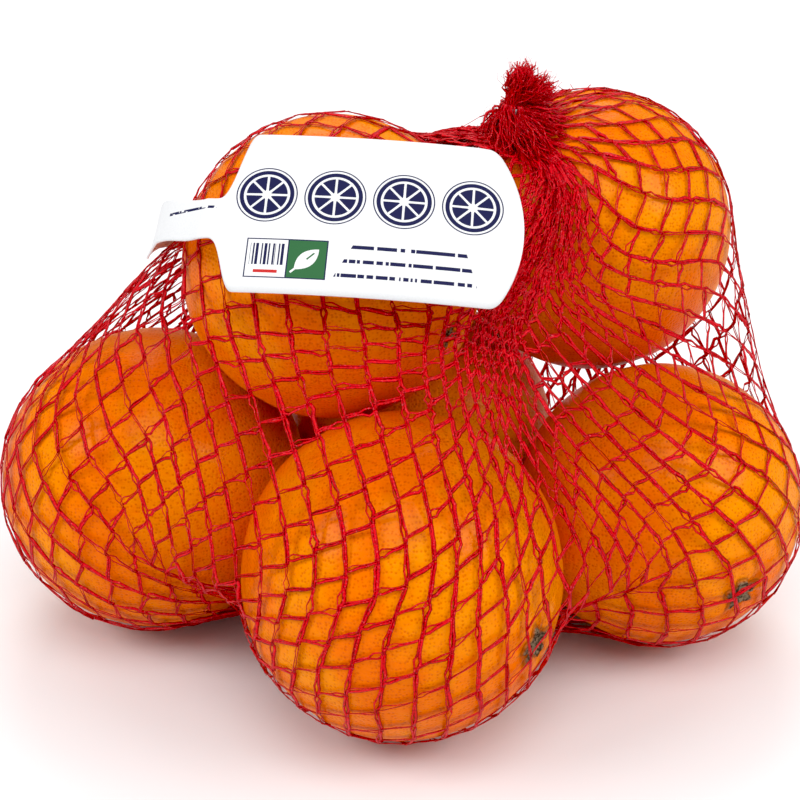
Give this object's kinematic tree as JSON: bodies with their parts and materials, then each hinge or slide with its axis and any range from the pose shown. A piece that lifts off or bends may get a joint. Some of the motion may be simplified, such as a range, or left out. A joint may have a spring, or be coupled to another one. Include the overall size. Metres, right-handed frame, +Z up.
{
  "type": "net of oranges",
  "caption": "Whole oranges held in a gathered tube of red netting, closed by a crimped metal band at each end, with a printed card tag whose strap runs round the pack.",
  "frame": {"origin": "centre of the bounding box on the ground the pack lies on", "axes": "+X along the pack's longest side, to the right of someone reading the tag; +Z up"},
  "size_m": [0.2232, 0.1658, 0.1556],
  "materials": {
    "netting": "glossy knitted fibre tape, translucent red",
    "rind": "waxed orange rind with pores",
    "band": "satin",
    "tag": "smooth white card, printed"
  },
  "bodies": {
    "root": {"filled_net": "netting", "top_tuft": "netting", "top_band": "band", "bottom_tuft": "netting", "bottom_band": "band", "tag": "tag"}
  },
  "joints": []
}
